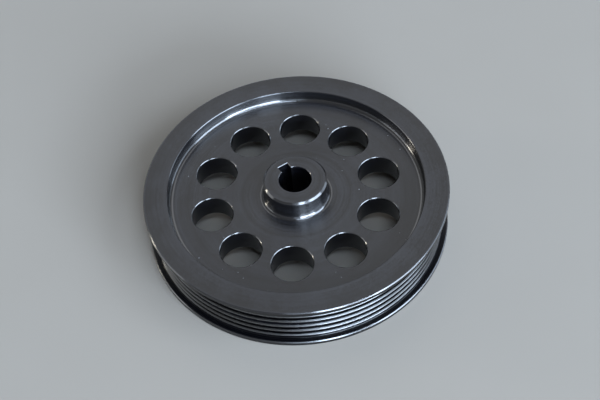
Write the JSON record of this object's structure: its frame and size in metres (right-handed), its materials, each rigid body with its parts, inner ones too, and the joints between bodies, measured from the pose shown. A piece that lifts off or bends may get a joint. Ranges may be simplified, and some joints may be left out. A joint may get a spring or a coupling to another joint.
{
  "type": "power steering pump pulley",
  "caption": "Black anodised aluminium belt pulley with a V-grooved rim between flanges, a drilled web and a raised hub with a keyed bore.",
  "frame": {"origin": "on the bore's axis, in the plane of the lower flange's flat face, which the pulley rests on", "axes": "+Z along the bore's axis towards the raised hub, +Y from the axis towards the keyway"},
  "size_m": [0.14, 0.14, 0.0296],
  "materials": {
    "black_anodised": "satin black anodised over fine turning marks, with glossier rim, hub and chamfers"
  },
  "bodies": {
    "root": {"pulley": "black_anodised"}
  },
  "joints": []
}
